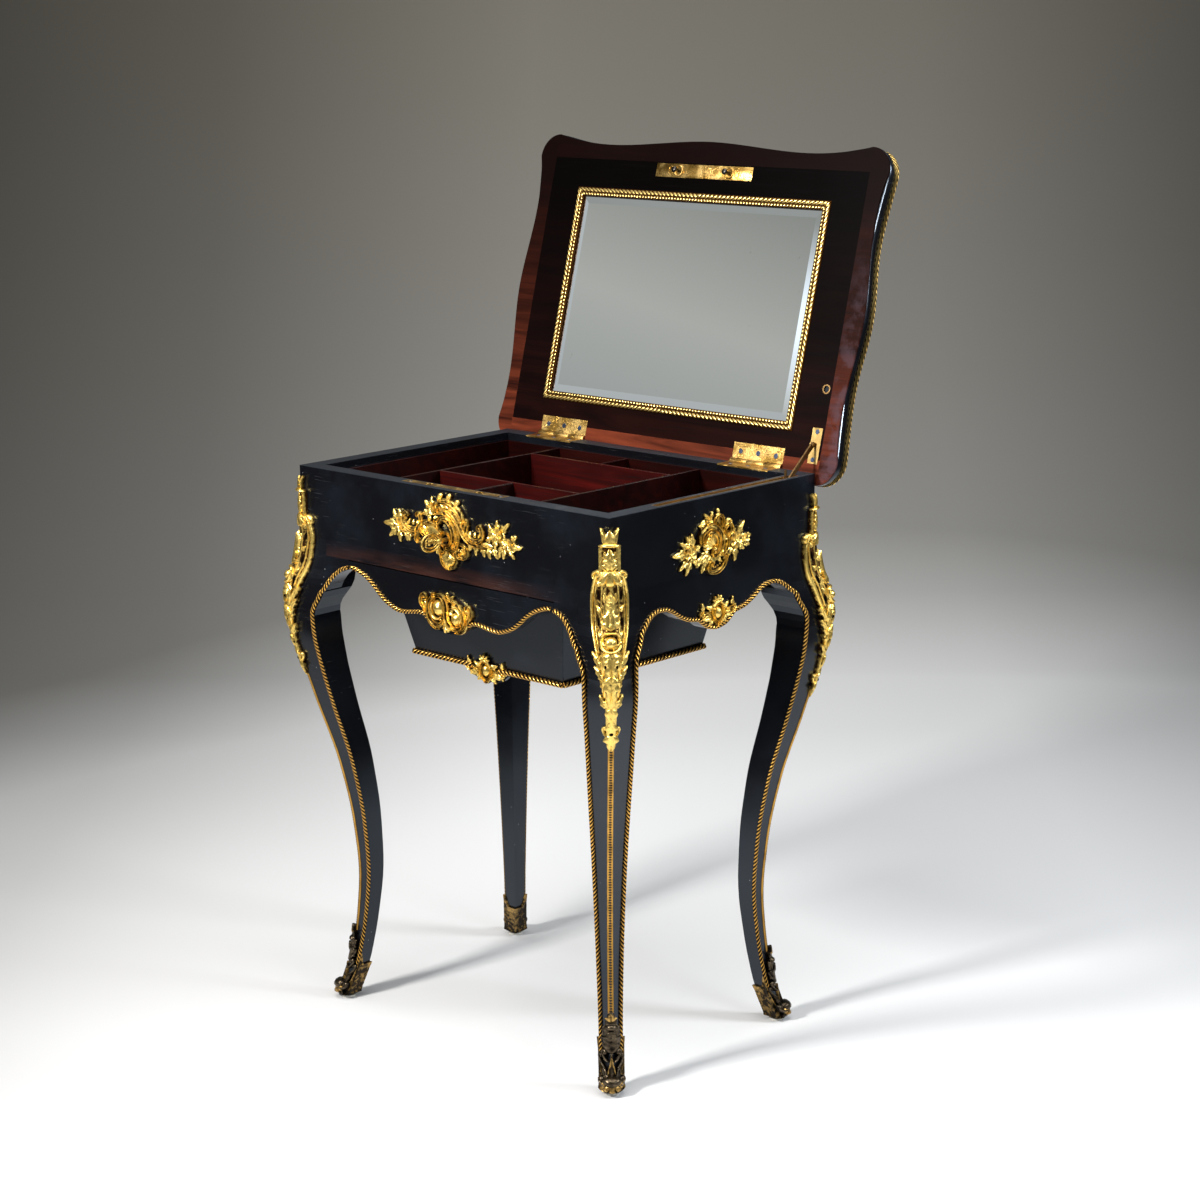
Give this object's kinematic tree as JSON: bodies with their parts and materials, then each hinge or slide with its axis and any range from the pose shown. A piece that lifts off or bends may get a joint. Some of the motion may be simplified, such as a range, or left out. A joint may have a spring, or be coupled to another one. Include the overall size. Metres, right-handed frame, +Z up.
{
  "type": "dressing table",
  "caption": "Ebonised dressing table on bowed legs with gilt bronze mounts, a hinged mirror lid on a stay, a divided tray with lock and key, and a hanging basket drawer.",
  "frame": {"origin": "centre of the case in plan, on the floor between the four feet", "axes": "+Z up, +X to the right seen from the front, the front with the keyhole faces -Y"},
  "size_m": [0.578, 0.5411, 1.0838],
  "materials": {
    "ebonised_wood": "black french polish, glossy, lightly scratched",
    "mahogany": "red-brown polished mahogany",
    "plain_wood": "dark stained carcass wood",
    "dark_veneer": "very dark polished rosewood veneer",
    "gilt_bronze": "cast, chased and gilded bronze",
    "dark_bronze": "darkened bronze with rubbed gilding",
    "brass": "engraved brass with worn lacquer",
    "steel": "blued steel",
    "mirror_glass": "bevelled silvered glass",
    "pale_glide": "matt pale pad"
  },
  "bodies": {
    "case": {"leg_front_right": "ebonised_wood", "leg_front_left": "ebonised_wood", "leg_rear_right": "ebonised_wood", "leg_rear_left": "ebonised_wood", "sabots": "dark_bronze", "foot_glides": "pale_glide", "corner_mounts": "gilt_bronze", "corner_strips": "gilt_bronze", "case_ropes": "gilt_bronze", "front_board": "ebonised_wood", "back_board": "ebonised_wood", "left_board": "ebonised_wood", "right_board": "ebonised_wood", "front_bracket_right": "ebonised_wood", "front_bracket_left": "ebonised_wood", "drawer_rail_right": "plain_wood", "drawer_rail_left": "plain_wood", "tray_floor": "mahogany", "tray_linings": "mahogany", "divider_left": "mahogany", "divider_right": "mahogany", "divider_rear": "mahogany", "divider_front": "mahogany", "short_dividers": "mahogany", "case_hinge_leaves": "brass", "hinge_pins": "brass", "lock_selvedge": "brass", "lock_case": "steel", "case_screws": "steel", "stay_track": "brass", "escutcheon": "gilt_bronze", "side_mounts": "gilt_bronze", "side_apron_mounts": "gilt_bronze"},
    "drawer": {"drawer_front": "ebonised_wood", "drawer_frame": "plain_wood", "basket_front": "ebonised_wood", "basket_right": "ebonised_wood", "basket_back": "ebonised_wood", "basket_left": "ebonised_wood", "basket_bottom": "plain_wood", "drawer_rope": "gilt_bronze", "drawer_mount": "gilt_bronze", "basket_moulding": "gilt_bronze", "basket_mount": "gilt_bronze"},
    "lid": {"lid_board": "ebonised_wood", "lid_border": "mahogany", "lid_field": "dark_veneer", "mirror_glass": "mirror_glass", "mirror_frame": "gilt_bronze", "lid_rope": "gilt_bronze", "striker_plate": "brass", "lid_hinge_leaves": "brass", "stay_bracket": "brass", "lid_eyelet": "brass", "lid_screws": "steel"},
    "stay_arm": {"stay_arm": "brass"},
    "stay_shoe": {"stay_shoe": "brass"},
    "key": {"key": "brass"},
    "lock_bolt": {"lock_bolt": "steel"}
  },
  "joints": [
    {"name": "lid_hinge", "type": "hinge", "parent": "case", "child": "lid", "pos_m": [0, 0.188, 0.7], "axis": [1, 0, 0], "range_deg": [0, 105]},
    {"name": "stay_pivot", "type": "hinge", "parent": "lid", "child": "stay_arm", "pos_m": [0.2495, 0.19316, 0.73278], "axis": [1, 0, 0], "range_deg": [-145.17, 0]},
    {"name": "stay_slide", "type": "slide", "parent": "case", "child": "stay_shoe", "axis": [0, -1, 0], "range_m": [0, 0.05242]},
    {"name": "drawer_slide", "type": "slide", "parent": "case", "child": "drawer", "axis": [0, -1, 0], "range_m": [0, 0.28]},
    {"name": "key_turn", "type": "hinge", "parent": "case", "child": "key", "pos_m": [0.002, -0.19, 0.6415], "axis": [0, 1, 0], "range_deg": [0, 90]},
    {"name": "bolt_slide", "type": "slide", "parent": "case", "child": "lock_bolt", "axis": [1, 0, 0], "range_m": [0, 0.006]}
  ],
  "couplings": [
    {"joint": "stay_pivot", "follows": "lid_hinge", "ratio": -1.373},
    {"joint": "stay_slide", "follows": "lid_hinge", "m_per_rad": 0.02806},
    {"joint": "key_turn", "follows": "bolt_slide", "rad_per_m": 261.8}
  ]
}
